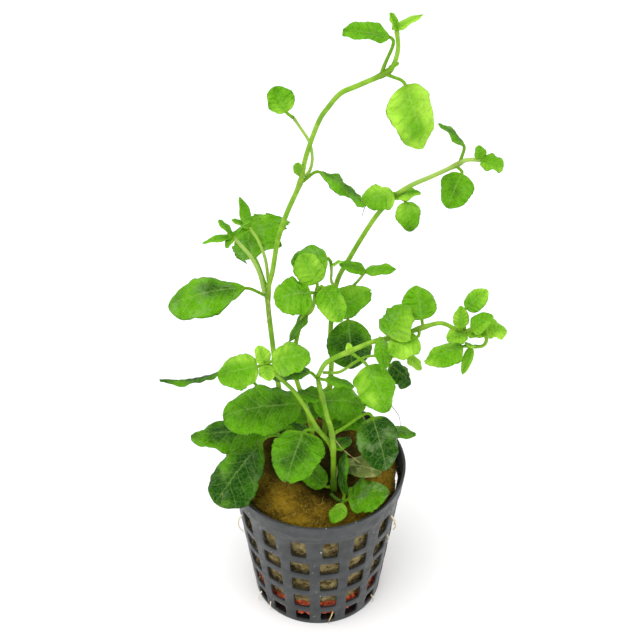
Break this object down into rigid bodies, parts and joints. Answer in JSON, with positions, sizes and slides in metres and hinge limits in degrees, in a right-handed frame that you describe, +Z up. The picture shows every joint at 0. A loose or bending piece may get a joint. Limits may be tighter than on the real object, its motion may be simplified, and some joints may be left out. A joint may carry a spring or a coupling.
{
  "type": "potted aquarium plant",
  "caption": "Bushy young stem plant with opposite ovate leaves, rooted in a plug of rockwool in a slatted net pot.",
  "frame": {"origin": "middle of the pot's flat underside, on the surface that the pot stands on", "axes": "+Z up the plant, -Y towards the viewer of the picture, +X to the picture's right"},
  "size_m": [0.0945, 0.0536, 0.2063],
  "materials": {
    "pot_plastic": "satin charcoal-grey moulded plastic",
    "clay": "orange-red fired clay grains",
    "rockwool": "damp golden-brown matted mineral fibre",
    "stem": "smooth yellow-green soft stem",
    "leaf": "fresh green, softly glossy leaf",
    "withered_leaf": "dull olive wilting leaf"
  },
  "bodies": {
    "root": {"clay_layer": "clay", "leaf_a_low_back": "leaf", "leaf_a_low_left": "leaf", "leaf_a_mid_right": "leaf", "leaf_a_mid_round": "leaf", "leaf_a_top_left": "leaf", "leaf_a_top_right": "leaf", "leaf_b_down": "leaf", "leaf_b_left": "leaf", "leaf_b_right": "leaf", "leaf_b_up": "leaf", "leaf_bl": "leaf", "leaf_c_back": "leaf", "leaf_c_down": "leaf", "leaf_c_left": "leaf", "leaf_c_up": "leaf", "leaf_d_low_right": "leaf", "leaf_d_low_side": "leaf", "leaf_d_mid_left": "leaf", "leaf_d_mid_small": "leaf", "leaf_d_top_hang": "leaf", "leaf_e_big": "leaf", "leaf_e_front": "leaf", "leaf_f_left": "leaf", "leaf_f_right": "leaf", "leaf_g_far": "leaf", "leaf_g_hang": "leaf", "leaf_g_near": "leaf", "leaf_g_up": "leaf", "leaf_h_face": "leaf", "leaf_h_left": "leaf", "leaf_h_low": "leaf", "leaf_h_right": "leaf", "leaf_h_up": "leaf", "leaf_m_lower": "leaf", "leaf_m_upper": "leaf", "leaf_n_dark": "leaf", "leaf_r_bright": "leaf", "leaf_r_right": "leaf", "leaf_r_strip": "leaf", "leaf_r_upright": "leaf", "leaf_w_edge": "leaf", "leaf_w_left": "leaf", "leaf_w_spoon": "leaf", "leaf_withered": "withered_leaf", "pot": "pot_plastic", "rockwool": "rockwool", "shoot_a1_left": "stem", "shoot_a1_right": "stem", "shoot_a2": "stem", "shoot_k": "stem", "shoot_r": "stem", "shoot_s": "stem", "shoot_t": "stem", "stem_a": "stem", "stem_b": "stem", "stem_c": "stem", "stem_d": "stem", "stem_e": "stem", "stem_g": "stem"}
  },
  "joints": []
}
